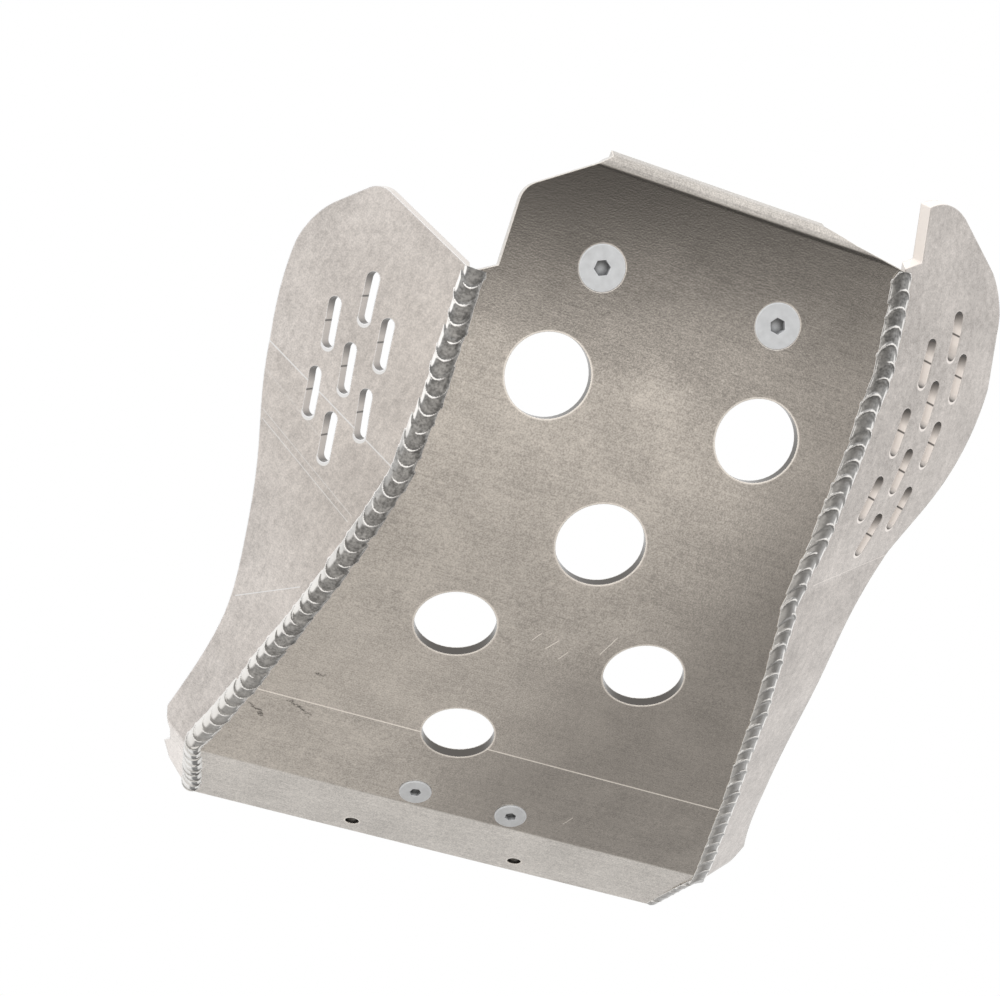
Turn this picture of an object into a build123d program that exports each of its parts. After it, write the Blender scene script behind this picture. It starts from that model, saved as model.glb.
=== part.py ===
from build123d import *
from math import cos, degrees, radians, sin, sqrt, tan
import os

os.makedirs("parts", exist_ok=True)

# Motorcycle skid plate: a bent main plate with a flared side plate welded along each edge
# Millimetres; x to the rider's left, y rearward, z up, as carried on the machine
# Origin: centre of the flat middle panel, on its underside

# Main plate, sizes along its underside
sheet = 4
front_slope = 32
sweep_radius = 220
front_straight = 27
middle_flat = 42.5
strip_length = 42.5
strip_rise = 3
flange_length = 36
flange_rise = 15.5
bend_radius = 8

# Lip bent back along the top of the front
lip_start = 30.7
lip_radius = 6
lip_turn = 70
lip_straight = 3
lip_right_end = -39.5
lip_left_end = 37.5
lip_right_notch = 4.5
lip_left_notch = 5.7

# Front outline, x and height above the front screws along the sheet
right_edge = -65
right_edge_foot = -9.5
right_edge_top = 17
right_corner_radius = 8
right_shoulder = (-43.2, 32)
left_shoulder = (49.4, 33.6)

# Half width at the outside corner of each seam
nose_half = 68.4
front_half = 73.4
rear_bend_half = 105.4
rear_edge_half = 98.7
flare_start = 88

# Round holes in the main plate, x and distance rearward of the front screws
vent_diameter = 29
vents = [(-37.9, 38.8), (37.9, 38.8), (-35.7, 136.5), (35.7, 136.5)]
centre_vent_diameter = 31
centre_vent = (0, 89.7)
drain_diameter = 26.8
drain = (-15.9, 188.3)
tie_hole_diameter = 5.5
tie_holes = [(-34.2, 262), (34.2, 262)]

# Screws
front_screw_half = 31.8
front_thread = 8
front_head = 16
front_length = 25
front_key = 5
front_key_depth = 3
rear_screw_half = 19.4
rear_screw_station = 226.3
rear_thread = 6
rear_head = 12.4
rear_length = 20
rear_key = 4
rear_key_depth = 2.3
rear_proud = 0.9
screw_play = 0.2
neck_play = 0.1
neck_margin = 0.8

# Side plates: the direction in which both rise from the seams, for the left one
rise_angle = 41.3
rise_forward = 7.1

# Outline of the left side plate: station on the seam and height up the sheet above it
left_chin_rear = (-31.5, 9.3)
left_chin_front = (-50.2, 8.2)
left_nose = (-47.8, 21.5)
left_brow_start = (-39.3, 33.2)
left_brow_end = (-17.7, 54.9)
left_crown = (-7, 62)
left_top_start = (7, 67.4)
left_top_end = (30.6, 75.2)
left_tail = [(42, 76), (68.3, 69), (88, 52), (111.5, 37), (133, 31.5), (176.5, 22.2), (196.5, 19.8)]
left_tail_end = (228.5, 21.8)

# Outline of the right side plate
right_front_foot = 13
right_front_top = (15.5, 40)
right_front_corner = (16.9, 44.5)
right_brow_start = (20.8, 49.2)
right_brow_end = (34, 61)
right_crown = (44.5, 67.8)
right_top = (55, 71.4)
right_tail = [(77.5, 71), (101.8, 62), (122, 48.5), (151, 33.3), (175, 24), (205, 19.6), (230, 18)]

# Rear end of both side plates: distance past the rear bend or before the rear edge, and height
tab_relief = [(5, 12.6), (12, 12.4), (19, 16)]
tab_end = [(7.5, 12.6), (1, 1.3)]
seam_overlap = 12

# Slots of both side plates
slot_length = 17.5
slot_width = 5

# Slots of the left side plate: first centre, steps along and across the rows, and their turn
left_slot_first = (-78.9, 73.8)
left_slot_along = (10.89, -6.38)
left_slot_across = (5.35, 9.59)
left_slot_turn = -15.5
left_slot_fan = -3
left_slots = [(0, 0), (1, 0), (0, 1), (1, 1), (1, 2), (2, 1), (2, 2), (2, 3), (3, 2), (3, 3)]

# Slots of the right side plate
right_slot_first = (-82.4, 68.6)
right_slot_along = (11.41, -4.89)
right_slot_across = (4.31, 9.85)
right_slot_turn = -30
right_slots = [(2, 2), (3, 2), (2, 3), (3, 3), (4, 3), (3, 4), (4, 4)]

# Weld beads: toe is the reach over each sheet, crown the height over the corner
# The ripples bow towards the front on the left seam and towards the rear on the right one
ripple_pitch = 6
ripple_bow = 3
ripple_step = 0.15
crest_toe = 4.4
crest_crown = 1.9
valley_toe = 4
valley_crown = 1.2
rear_bead_scale = 0.7
bead_clearance = 0.05
bead_arch = [(-1, 0), (-0.55, 0.88), (0.55, 0.88), (1, 0)]
left_bead_start = -30.5
right_bead_start = 14.5
bead_end_margin = 1.5

# A length well past the part, for cuts, and the way a screw's lengths are counted from its head
beyond = 300
from_head = (Align.CENTER, Align.CENTER, Align.MAX)

# Stations along the underside, counted rearward from the front screws
sweep_end = front_straight + sweep_radius * radians(front_slope)
crease = sweep_end + middle_flat
rear_bend = crease + strip_length
rear_edge = rear_bend + flange_length


def underside(station):
    """Place (y, z) of the underside and the angle by which it falls towards the rear."""
    if station < front_straight:
        y, z, fall = underside(front_straight)
        back = front_straight - station
        return y - back * cos(radians(front_slope)), z + back * sin(radians(front_slope)), front_slope
    if station <= sweep_end:
        turn = (sweep_end - station) / sweep_radius
        return -middle_flat / 2 - sweep_radius * sin(turn), sweep_radius * (1 - cos(turn)), degrees(turn)
    if station <= crease:
        return station - crease + middle_flat / 2, 0, 0
    if station <= rear_bend:
        run = station - crease
        return middle_flat / 2 + run * cos(radians(strip_rise)), run * sin(radians(strip_rise)), -strip_rise
    y, z, fall = underside(rear_bend)
    run = station - rear_bend
    return y + run * cos(radians(flange_rise)), z + run * sin(radians(flange_rise)), -flange_rise


def half_width(station):
    """Half width of the main plate at its seams, straight in plan between the turns."""
    turns = [(-lip_start, nose_half), (0, front_half), (flare_start, front_half)]
    turns = turns + [(rear_bend, rear_bend_half), (rear_edge, rear_edge_half)]
    place = 0
    while place < 3 and station > turns[place + 1][0]:
        place = place + 1
    first, first_half = turns[place]
    last, last_half = turns[place + 1]
    share = (underside(station)[0] - underside(first)[0]) / (underside(last)[0] - underside(first)[0])
    return first_half + share * (last_half - first_half)


def corner(station):
    """Point of the left seam's outside corner."""
    y, z, fall = underside(station)
    return Vector(half_width(station), y, z)


def sheet_plane(x, station):
    """Plane lying on the underside, facing outwards, its y axis towards the front."""
    y, z, fall = underside(station)
    outward = (0, -sin(radians(fall)), -cos(radians(fall)))
    return Plane(origin=(x, y, z), x_dir=(1, 0, 0), z_dir=outward)


# Directions of the left side plate: up the sheet, out of it and along it
up_sheet = Vector(
    cos(radians(rise_angle)) * cos(radians(rise_forward)),
    -sin(radians(rise_forward)),
    sin(radians(rise_angle)) * cos(radians(rise_forward)),
)
out_of_sheet = (corner(crease) - corner(0)).cross(up_sheet).normalized()
along_sheet = up_sheet.cross(out_of_sheet)
side_origin = corner(flare_start)
section_plane = Plane(origin=side_origin - up_sheet * beyond, x_dir=along_sheet, z_dir=up_sheet)
outline_plane = Plane(origin=side_origin, x_dir=along_sheet, z_dir=out_of_sheet)


def plate_point(station, height):
    """Point of a side plate's outline, at a height up the sheet above a station of the seam."""
    from_origin = corner(station) - side_origin
    return from_origin.dot(along_sheet), from_origin.dot(up_sheet) + height


def seam_trace(station):
    """Seam corner as seen along the rise of the side plate, inwards counted positive."""
    from_origin = corner(station) - side_origin
    return Vector(from_origin.dot(along_sheet), -from_origin.dot(out_of_sheet))


def section_point(station, inset):
    """Point of the side plate's section on its outer face, or inside it by the inset."""
    before = (seam_trace(station) - seam_trace(station - 0.5)).normalized()
    after = (seam_trace(station + 0.5) - seam_trace(station)).normalized()
    inward = Vector(-before.Y - after.Y, before.X + after.X)
    return seam_trace(station) + inward * (inset / (1 + before.dot(after)))


# Stations of the side plates' section: straight front, two curves, then straight runs to the rear
section_front = -beyond / 4
section_rear = rear_edge + sheet
front_run = [section_front, 0, front_straight]
first_curve = [front_straight, (front_straight + flare_start) / 2, flare_start]
second_curve = [flare_start, (flare_start + sweep_end) / 2, sweep_end]
rear_run = [sweep_end, crease, rear_bend, section_rear]

# Rear end of both side plates: bend relief, then a tab along the flange
rear_end = [(rear_bend + past, height) for past, height in tab_relief]
rear_end = rear_end + [(rear_edge - before, height) for before, height in tab_end]
below_stations = (rear_edge - tab_end[-1][0], rear_bend, sweep_end, flare_start, front_straight)
below_seam = [(s, -seam_overlap) for s in below_stations]

# All the large round holes: x, station and diameter
round_holes = [(x, s, vent_diameter) for x, s in vents]
round_holes = round_holes + [(*centre_vent, centre_vent_diameter), (*drain, drain_diameter)]

seam_stations = [section_front, 0, flare_start, rear_bend, rear_edge + beyond / 10]
seam_edge = [(half_width(s), underside(s)[0]) for s in seam_stations]
seam_plan = seam_edge + [(-x, y) for x, y in reversed(seam_edge)]

# Main plate
with BuildPart() as main_plate:
    setback = bend_radius * tan(radians(flange_rise - strip_rise) / 2)
    with BuildSketch(Plane.YZ):
        with BuildLine():
            middle = Line((middle_flat / 2, 0), (-middle_flat / 2, 0))
            sweep = JernArc(middle @ 1, middle % 1, sweep_radius, -front_slope)
            front = Line(sweep @ 1, sweep @ 1 + (sweep % 1) * (front_straight + lip_start))
            lip_bend = JernArc(front @ 1, front % 1, lip_radius, -lip_turn)
            lip = Line(lip_bend @ 1, lip_bend @ 1 + (lip_bend % 1) * lip_straight)
            strip = PolarLine(middle @ 0, strip_length - setback, strip_rise)
            rear_corner = JernArc(strip @ 1, strip % 1, bend_radius, flange_rise - strip_rise)
            flange = Line(rear_corner @ 1, rear_corner @ 1 + (rear_corner % 1) * (flange_length - setback))
            offset(amount=sheet, side=Side.RIGHT, kind=Kind.INTERSECTION)
        make_face()
    extrude(amount=beyond, both=True)
    with BuildSketch(Plane.XY.offset(-beyond)):
        with BuildLine():
            Polyline(*seam_plan, close=True)
        make_face()
    extrude(amount=2 * beyond, mode=Mode.INTERSECT)
    with BuildSketch(sheet_plane(0, 0)) as front_blank:
        with BuildLine():
            Polyline(
                (-beyond, -2 * beyond),
                (-beyond, -right_bead_start),
                (-front_half, -right_bead_start),
                (right_edge, right_edge_foot),
                (right_edge, right_edge_top),
                right_shoulder,
                (lip_right_end, lip_start + lip_right_notch),
                (lip_right_end, beyond),
                (lip_left_end, beyond),
                (lip_left_end, lip_start + lip_left_notch),
                left_shoulder,
                (nose_half, lip_start),
                (beyond, lip_start),
                (beyond, -2 * beyond),
                close=True,
            )
        make_face()
        outer_corner = front_blank.vertices().sort_by_distance((right_edge, right_edge_top))[0]
        fillet(outer_corner, radius=right_corner_radius)
    extrude(amount=beyond, both=True, mode=Mode.INTERSECT)
    for x, station, diameter in round_holes:
        with Locations(sheet_plane(x, station)):
            Hole(diameter / 2, depth=3 * sheet)
    with Locations(*[sheet_plane(x, s) for x, s in tie_holes]):
        Hole(tie_hole_diameter / 2, depth=3 * sheet)
    with Locations(sheet_plane(-front_screw_half, 0), sheet_plane(front_screw_half, 0)):
        CounterSinkHole((front_thread + 2 * screw_play) / 2, front_head / 2 + screw_play / 2, 3 * sheet, 90)
    rear_y, rear_z, rear_fall = underside(rear_screw_station)
    rear_planes = [
        Plane(origin=(x, rear_y, rear_z - rear_proud), x_dir=(1, 0, 0), z_dir=(0, 0, -1))
        for x in (-rear_screw_half, rear_screw_half)
    ]
    with Locations(*rear_planes):
        CounterSinkHole((rear_thread + 2 * screw_play) / 2, rear_head / 2 + screw_play / 2, 3 * sheet, 90)
main_plate.part.label = "main_plate"
export_step(main_plate.part, "parts/main_plate.step")

# Left side plate
with BuildPart() as left_side_plate:
    with BuildSketch(section_plane) as left_section:
        with BuildLine():
            for inset in (0, sheet):
                Polyline(*[section_point(s, inset) for s in front_run])
                ThreePointArc(*[section_point(s, inset) for s in first_curve])
                ThreePointArc(*[section_point(s, inset) for s in second_curve])
                Polyline(*[section_point(s, inset) for s in rear_run])
            Line(section_point(section_front, 0), section_point(section_front, sheet))
            Line(section_point(section_rear, 0), section_point(section_rear, sheet))
        make_face()
        bend_corners = left_section.vertices()
        fillet(bend_corners.sort_by_distance(section_point(rear_bend, 0))[0], bend_radius)
        bend_corners = left_section.vertices()
        fillet(bend_corners.sort_by_distance(section_point(rear_bend, sheet))[0], bend_radius - sheet)
    extrude(amount=2 * beyond)
    with BuildSketch(outline_plane):
        with BuildLine():
            chin = Line(plate_point(*left_chin_rear), plate_point(*left_chin_front))
            nose = ThreePointArc(chin @ 1, plate_point(*left_nose), plate_point(*left_brow_start))
            brow = Line(nose @ 1, plate_point(*left_brow_end))
            crown = ThreePointArc(brow @ 1, plate_point(*left_crown), plate_point(*left_top_start))
            top = Line(crown @ 1, plate_point(*left_top_end))
            tail = Spline(top @ 1, *[plate_point(*place) for place in left_tail + [left_tail_end]])
            tab = Polyline(tail @ 1, *[plate_point(*place) for place in rear_end + below_seam])
            Polyline(tab @ 1, plate_point(left_chin_rear[0], -seam_overlap), chin @ 0)
        make_face()
    extrude(amount=beyond, both=True, mode=Mode.INTERSECT)
    with BuildSketch(outline_plane):
        for i, j in left_slots:
            u = left_slot_first[0] + (i + j) * left_slot_along[0] + (i - j) * left_slot_across[0]
            v = left_slot_first[1] + (i + j) * left_slot_along[1] + (i - j) * left_slot_across[1]
            with Locations((u, v)):
                SlotOverall(slot_length, slot_width, rotation=left_slot_turn + left_slot_fan * (i + j))
    extrude(amount=beyond, both=True, mode=Mode.SUBTRACT)
    with BuildSketch(Plane.XY.offset(-beyond)):
        with BuildLine():
            Polyline(*seam_plan, close=True)
        make_face()
    extrude(amount=2 * beyond, mode=Mode.SUBTRACT)
left_side_plate.part.label = "left_side_plate"
export_step(left_side_plate.part, "parts/left_side_plate.step")

# Right side plate, drawn on the left and mirrored
with BuildPart() as right_side_plate:
    with BuildSketch(section_plane) as right_section:
        with BuildLine():
            for inset in (0, sheet):
                Polyline(*[section_point(s, inset) for s in front_run])
                ThreePointArc(*[section_point(s, inset) for s in first_curve])
                ThreePointArc(*[section_point(s, inset) for s in second_curve])
                Polyline(*[section_point(s, inset) for s in rear_run])
            Line(section_point(section_front, 0), section_point(section_front, sheet))
            Line(section_point(section_rear, 0), section_point(section_rear, sheet))
        make_face()
        bend_corners = right_section.vertices()
        fillet(bend_corners.sort_by_distance(section_point(rear_bend, 0))[0], bend_radius)
        bend_corners = right_section.vertices()
        fillet(bend_corners.sort_by_distance(section_point(rear_bend, sheet))[0], bend_radius - sheet)
    extrude(amount=2 * beyond)
    with BuildSketch(outline_plane):
        with BuildLine():
            front_edge = Line(plate_point(right_front_foot, -seam_overlap), plate_point(*right_front_top))
            front_corner = ThreePointArc(
                front_edge @ 1, plate_point(*right_front_corner), plate_point(*right_brow_start)
            )
            brow = Line(front_corner @ 1, plate_point(*right_brow_end))
            crown = ThreePointArc(brow @ 1, plate_point(*right_crown), plate_point(*right_top))
            tail = Spline(crown @ 1, *[plate_point(*place) for place in right_tail])
            tab = Polyline(tail @ 1, *[plate_point(*place) for place in rear_end + below_seam])
            Line(tab @ 1, front_edge @ 0)
        make_face()
    extrude(amount=beyond, both=True, mode=Mode.INTERSECT)
    with BuildSketch(outline_plane):
        for i, j in right_slots:
            u = right_slot_first[0] + (i + j) * right_slot_along[0] + (i - j) * right_slot_across[0]
            v = right_slot_first[1] + (i + j) * right_slot_along[1] + (i - j) * right_slot_across[1]
            with Locations((u, v)):
                SlotOverall(slot_length, slot_width, rotation=right_slot_turn)
    extrude(amount=beyond, both=True, mode=Mode.SUBTRACT)
    with BuildSketch(Plane.XY.offset(-beyond)):
        with BuildLine():
            Polyline(*seam_plan, close=True)
        make_face()
    extrude(amount=2 * beyond, mode=Mode.SUBTRACT)
    mirror(about=Plane.YZ, mode=Mode.REPLACE)
right_side_plate.part.label = "right_side_plate"
export_step(right_side_plate.part, "parts/right_side_plate.step")


def bead_section(station, toe, crown, bow):
    """Plane, half width, foot height and height of one bead section on the left seam."""
    tangent = (corner(station + 0.5) - corner(station - 0.5)).normalized()
    across = Vector(-1, 0, 0)
    rise = up_sheet
    if bow != 0:
        across = (across - tangent * across.dot(tangent)).normalized()
        rise = (rise - tangent * rise.dot(tangent)).normalized()
    outward = (across + rise).normalized() * -1
    foot = corner(station) + outward * bead_clearance
    main_toe = foot + across * toe
    side_toe = foot + rise * toe
    middle = (main_toe + side_toe) * 0.5
    span = side_toe - main_toe
    reach = foot + outward * crown + tangent * bow - middle
    plane = Plane(origin=middle, x_dir=span.normalized(), z_dir=span.cross(reach).normalized())
    foot_height = (foot - middle).dot(outward) / reach.dot(outward) * reach.length
    return plane, span.length / 2, foot_height, reach.length


def bead_stations(start, step, bow):
    """Stations, sizes and bow of crests and valleys, with a straight crest at each turn of the seam."""
    turns = [turn for turn in (0, flare_start, crease, rear_bend) if turn > start]
    ends = [start] + turns + [rear_edge - bead_end_margin]
    sections = []
    for first, last in zip(ends, ends[1:]):
        scale = rear_bead_scale if first == rear_bend else 1
        count = round((last - first) / (ripple_pitch * scale))
        pitch = (last - first) / count
        for n in range(count):
            crest = first + n * pitch
            crest_bow = bow * scale if n > 0 else 0
            valley_bow = 0 if n == (0 if bow > 0 else count - 1) else bow * scale
            sections.append((crest, crest_toe * scale, crest_crown * scale, crest_bow))
            sections.append((crest + step * pitch, valley_toe * scale, valley_crown * scale, valley_bow))
    return sections


# Left weld bead
with BuildPart() as left_weld_bead:
    for section in bead_stations(left_bead_start, 1 - ripple_step, -ripple_bow):
        plane, half, foot_height, height = bead_section(*section)
        with BuildSketch(plane):
            with BuildLine():
                Polyline(*[(half * x, height * z) for x, z in bead_arch], (0, foot_height), close=True)
            make_face()
    loft(ruled=True)
left_weld_bead.part.label = "left_weld_bead"
export_step(left_weld_bead.part, "parts/left_weld_bead.step")

# Right weld bead, drawn on the left and mirrored
with BuildPart() as right_weld_bead:
    for section in bead_stations(right_bead_start, ripple_step, ripple_bow):
        plane, half, foot_height, height = bead_section(*section)
        with BuildSketch(plane):
            with BuildLine():
                Polyline(*[(half * x, height * z) for x, z in bead_arch], (0, foot_height), close=True)
            make_face()
    loft(ruled=True)
    mirror(about=Plane.YZ, mode=Mode.REPLACE)
right_weld_bead.part.label = "right_weld_bead"
export_step(right_weld_bead.part, "parts/right_weld_bead.step")

# Front screws, countersunk with a hexagon socket
with BuildPart() as front_screws:
    front_planes = [sheet_plane(-front_screw_half, 0), sheet_plane(front_screw_half, 0)]
    cone = (front_head - front_thread) / 2
    with Locations(*front_planes):
        Cone(front_thread / 2, front_head / 2, cone, align=from_head)
        with Locations((0, 0, -cone)):
            Cylinder(front_thread / 2, front_length - cone, align=from_head)
    with BuildSketch(*front_planes):
        RegularPolygon(front_key / sqrt(3), 6)
    extrude(amount=-front_key_depth, mode=Mode.SUBTRACT)
front_screws.part.label = "front_screws"
export_step(front_screws.part, "parts/front_screws.step")

# Rear screws, countersunk with a hexagon socket, standing a little proud of the strip
with BuildPart() as rear_screws:
    neck = rear_thread - 2 * neck_play
    cone = (rear_head - neck) / 2
    neck_end = rear_proud + sheet + neck_margin
    with Locations(*rear_planes):
        Cone(neck / 2, rear_head / 2, cone, align=from_head)
        with Locations((0, 0, -cone)):
            Cylinder(neck / 2, neck_end - cone, align=from_head)
        with Locations((0, 0, -neck_end)):
            Cylinder(rear_thread / 2, rear_length - neck_end, align=from_head)
    with BuildSketch(*rear_planes):
        RegularPolygon(rear_key / sqrt(3), 6)
    extrude(amount=-rear_key_depth, mode=Mode.SUBTRACT)
rear_screws.part.label = "rear_screws"
export_step(rear_screws.part, "parts/rear_screws.step")
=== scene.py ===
import random
from math import cos, pi, radians, sin, sqrt

import bpy
from bpy.props import FloatProperty, FloatVectorProperty, PointerProperty
from mathutils import Matrix, Vector


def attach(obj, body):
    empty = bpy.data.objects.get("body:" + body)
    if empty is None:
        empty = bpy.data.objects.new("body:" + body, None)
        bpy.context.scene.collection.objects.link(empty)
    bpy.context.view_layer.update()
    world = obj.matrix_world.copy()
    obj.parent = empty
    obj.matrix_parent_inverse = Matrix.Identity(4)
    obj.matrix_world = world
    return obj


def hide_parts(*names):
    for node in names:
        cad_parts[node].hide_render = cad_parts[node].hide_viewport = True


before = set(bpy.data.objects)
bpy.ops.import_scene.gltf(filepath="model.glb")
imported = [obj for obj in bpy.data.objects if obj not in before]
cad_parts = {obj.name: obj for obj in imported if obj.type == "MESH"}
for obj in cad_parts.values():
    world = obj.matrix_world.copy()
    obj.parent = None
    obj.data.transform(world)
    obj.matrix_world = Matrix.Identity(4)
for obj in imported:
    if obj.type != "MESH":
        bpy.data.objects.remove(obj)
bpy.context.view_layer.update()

bl_info = {
    "name": "Skid plate looks",
    "version": (1, 0, 0),
    "blender": (4, 5, 0),
    "location": "View3D > Sidebar > Skid plate",
    "description": "Sheet finishes, rippled weld beads, threaded screws and a plain stage for a skid plate",
    "category": "Object",
}

MM = 0.001

# The rider's left and right, by the sign of X
LEFT = 1
RIGHT = -1

# Sizes of the bent sheets in millimetres, and stations counted rearward from the front screws
FRONT_SLOPE = radians(32)
FRONT_STRAIGHT = 27
SWEEP_RADIUS = 220
MIDDLE_FLAT = 42.5
STRIP_LENGTH = 42.5
STRIP_RISE = radians(3)
FLANGE_LENGTH = 36
FLANGE_RISE = radians(15.5)
SWEEP_END = FRONT_STRAIGHT + SWEEP_RADIUS * FRONT_SLOPE
CREASE = SWEEP_END + MIDDLE_FLAT
REAR_BEND = CREASE + STRIP_LENGTH
REAR_EDGE = REAR_BEND + FLANGE_LENGTH

# Turns of the seams: station and half width of the main plate
FLARE_START = 88
SEAM_TURNS = ((-30.7, 68.4), (0, 73.4), (FLARE_START, 73.4), (REAR_BEND, 105.4), (REAR_EDGE, 98.7))

# Rise of the side plates over the level, and their lean forward
RISE_ANGLE = radians(41.3)
RISE_FORWARD = radians(7.1)

# Half step for directions along the sheet in millimetres, and reach of an axis beyond it in metres
HALF_STEP = 0.5
AXIS_REACH = 20 * MM


def neighbours(table, station):
    """The two rows of a table, each led by its station, between which a station lies."""
    place = 0
    while place < len(table) - 2 and station > table[place + 1][0]:
        place += 1
    return table[place], table[place + 1]


def underside(station):
    """Place (y, z) of the main plate's underside at a station, in millimetres."""
    if station < FRONT_STRAIGHT:
        y, z = underside(FRONT_STRAIGHT)
        back = FRONT_STRAIGHT - station
        return y - back * cos(FRONT_SLOPE), z + back * sin(FRONT_SLOPE)
    if station <= SWEEP_END:
        turn = (SWEEP_END - station) / SWEEP_RADIUS
        return -MIDDLE_FLAT / 2 - SWEEP_RADIUS * sin(turn), SWEEP_RADIUS * (1 - cos(turn))
    if station <= CREASE:
        return station - CREASE + MIDDLE_FLAT / 2, 0
    if station <= REAR_BEND:
        run = station - CREASE
        return MIDDLE_FLAT / 2 + run * cos(STRIP_RISE), run * sin(STRIP_RISE)
    y, z = underside(REAR_BEND)
    run = station - REAR_BEND
    return y + run * cos(FLANGE_RISE), z + run * sin(FLANGE_RISE)


def half_width(station):
    """Half width of the main plate at its seams, in millimetres."""
    (first, first_half), (last, last_half) = neighbours(SEAM_TURNS, station)
    share = (underside(station)[0] - underside(first)[0]) / (underside(last)[0] - underside(first)[0])
    return first_half + share * (last_half - first_half)


def seam(station, side):
    """Outside corner of a seam, in metres."""
    y, z = underside(station)
    return Vector((side * half_width(station), y, z)) * MM


def up_sheet(side):
    """Direction up a side plate, away from its seam."""
    level = cos(RISE_FORWARD)
    return Vector((side * cos(RISE_ANGLE) * level, -sin(RISE_FORWARD), sin(RISE_ANGLE) * level))


def out_of_sheet(side):
    """Direction out of a side plate."""
    return (seam(CREASE, side) - seam(0, side)).cross(up_sheet(side)).normalized() * side


def on_side_plate(station, height, side):
    """Point on the outer face of a side plate, at a height up the sheet above the seam."""
    return seam(station, side) + up_sheet(side) * height * MM


def on_main_plate(x, station):
    """Point on the underside of the main plate."""
    y, z = underside(station)
    return Vector((x, y, z)) * MM


# Slots of the side plates in millimetres, from the seam's corner where the flare starts: first centre,
# steps along and across the rows, turn in degrees, turn added from row to row, and rows
SLOT_LENGTH = 17.5
SLOT_WIDTH = 5
LEFT_SLOTS = (
    (-78.9, 73.8), (10.89, -6.38), (5.35, 9.59), -15.5, -3,
    ((0, 0), (1, 0), (0, 1), (1, 1), (1, 2), (2, 1), (2, 2), (2, 3), (3, 2), (3, 3)))
RIGHT_SLOTS = (
    (-82.4, 68.6), (11.41, -4.89), (4.31, 9.85), -30, 0,
    ((2, 2), (3, 2), (2, 3), (3, 3), (4, 3), (3, 4), (4, 4)))

# Dark marks on the slots' walls: a tick where the cut began at mid-length, and painted shade at both ends;
# shares of the half length and half width, and width of the mark
SLOT_MARKS_AND_SHADE = ((0, 1, 0.5 * MM), (-0.95, 0.1, 6.5 * MM), (0.95, 0.1, 3 * MM))

# Painted highlight crescents on the slots' rear rims: width, and fully bright share
GLINT_WIDTH = 2.9 * MM
GLINT_CORE = 0.9

# Round holes of the main plate in millimetres: x, station and diameter
ROUND_HOLES = (
    (-37.9, 38.8, 29), (37.9, 38.8, 29), (0, 89.7, 31), (-35.7, 136.5, 29), (35.7, 136.5, 29),
    (-15.9, 188.3, 26.8), (-34.2, 262, 5.5), (34.2, 262, 5.5))

# Painted highlight ring around a hole, and painted shade on its wall: width of the ring, reach of the shade
# as a share of the radius, and fully dark share
RIM_WIDTH = 0.8 * MM
WALL_REACH = 1.012
WALL_CORE = 0.99

# Marks on the main plate in millimetres: x and station of one end, and run to the left and along
SCRATCHES = ((40.2, 223.6, 2, -5), (-8, 134, 2, -4), (-2, 136, 3, -5), (4, 139, 2, -4), (17, 132, 3, -9))
SCRATCH_WIDTH = 0.25 * MM
SCRATCH_STRENGTH = 0.6
STAINS = (
    (-74.5, 176.5, 3, 1), (-78.3, 193.7, 4, 3), (-74, 197, 4, 2), (-92, 201.4, 3, 1.5), (-89, 203, 3, 2.5))
STAIN_WIDTH = 0.9 * MM

# Line scribed along the crease: half its length in millimetres, width and strength
CREASE_HALF = 104
CREASE_WIDTH = 0.45 * MM
CREASE_STRENGTH = 0.8

# Lines scribed on the side plates: station and height of both ends in millimetres, width and strength
RIGHT_SCRIBED = (
    ((89.3, 71), (86.2, 4), 0.35 * MM, 0.9),
    ((110.6, 55), (112.0, 7), 0.2 * MM, 0.8),
    ((108.0, 57), (109.4, 7), 0.15 * MM, 0.7),
    ((168.6, 24), (143.9, 7), 0.25 * MM, 0.8),
    ((97.0, 65), (99.0, 30), 0.12 * MM, 0.4),
)
LEFT_SCRIBED = (((85.8, 8), (89.3, 52), 0.25 * MM, 0.6),)

# Grain of the sheets, by how fast it changes along each axis, and strength of their speckle
MAIN_GRAIN = (40, 1900, 1900)
MAIN_SPARKLE = 0.5
SIDE_GRAIN = (500, 60, 500)
SIDE_SPARKLE = 0.3

# Side plates: name, side, tone (the right plate painted lighter and the left darker, as painted light and
# shade), scribed lines, slots, tone of the slots' walls (painted light and shade), and place of the painted
# highlight crescents as a share of the half length
SIDE_PLATES = (
    ("right", RIGHT, 1.14, RIGHT_SCRIBED, RIGHT_SLOTS, 0.78, 0.84),
    ("left", LEFT, 0.86, LEFT_SCRIBED, LEFT_SLOTS, 1.4, 0.79),
)


def slot_lines(side, slots, along_slot, across_slot):
    """Lines through a side plate, one for each slot, at shares of its half length and half width."""
    first, along, across, turn, fan, rows = slots
    outward = out_of_sheet(side)
    rise = up_sheet(side)
    level = rise.cross(outward) * side
    reach = outward * AXIS_REACH
    run = along_slot * SLOT_LENGTH / 2
    rest = across_slot * SLOT_WIDTH / 2
    lines = []
    for i, j in rows:
        angle = radians(turn + fan * (i + j))
        u = first[0] + (i + j) * along[0] + (i - j) * across[0] + cos(angle) * run - sin(angle) * rest
        v = first[1] + (i + j) * along[1] + (i - j) * across[1] + sin(angle) * run + cos(angle) * rest
        middle = seam(FLARE_START, side) + (level * u + rise * v) * MM
        lines.append((middle - reach, middle + reach))
    return lines


def hole_axes():
    """Axis of each round hole, from its start to its end, and the hole's radius, in metres."""
    axes = []
    for x, station, diameter in ROUND_HOLES:
        along = (on_main_plate(x, station + HALF_STEP) - on_main_plate(x, station - HALF_STEP)).normalized()
        reach = Vector((0, along.z, -along.y)) * AXIS_REACH
        middle = on_main_plate(x, station)
        axes.append((middle - reach, middle + reach, diameter / 2 * MM))
    return axes


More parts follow.
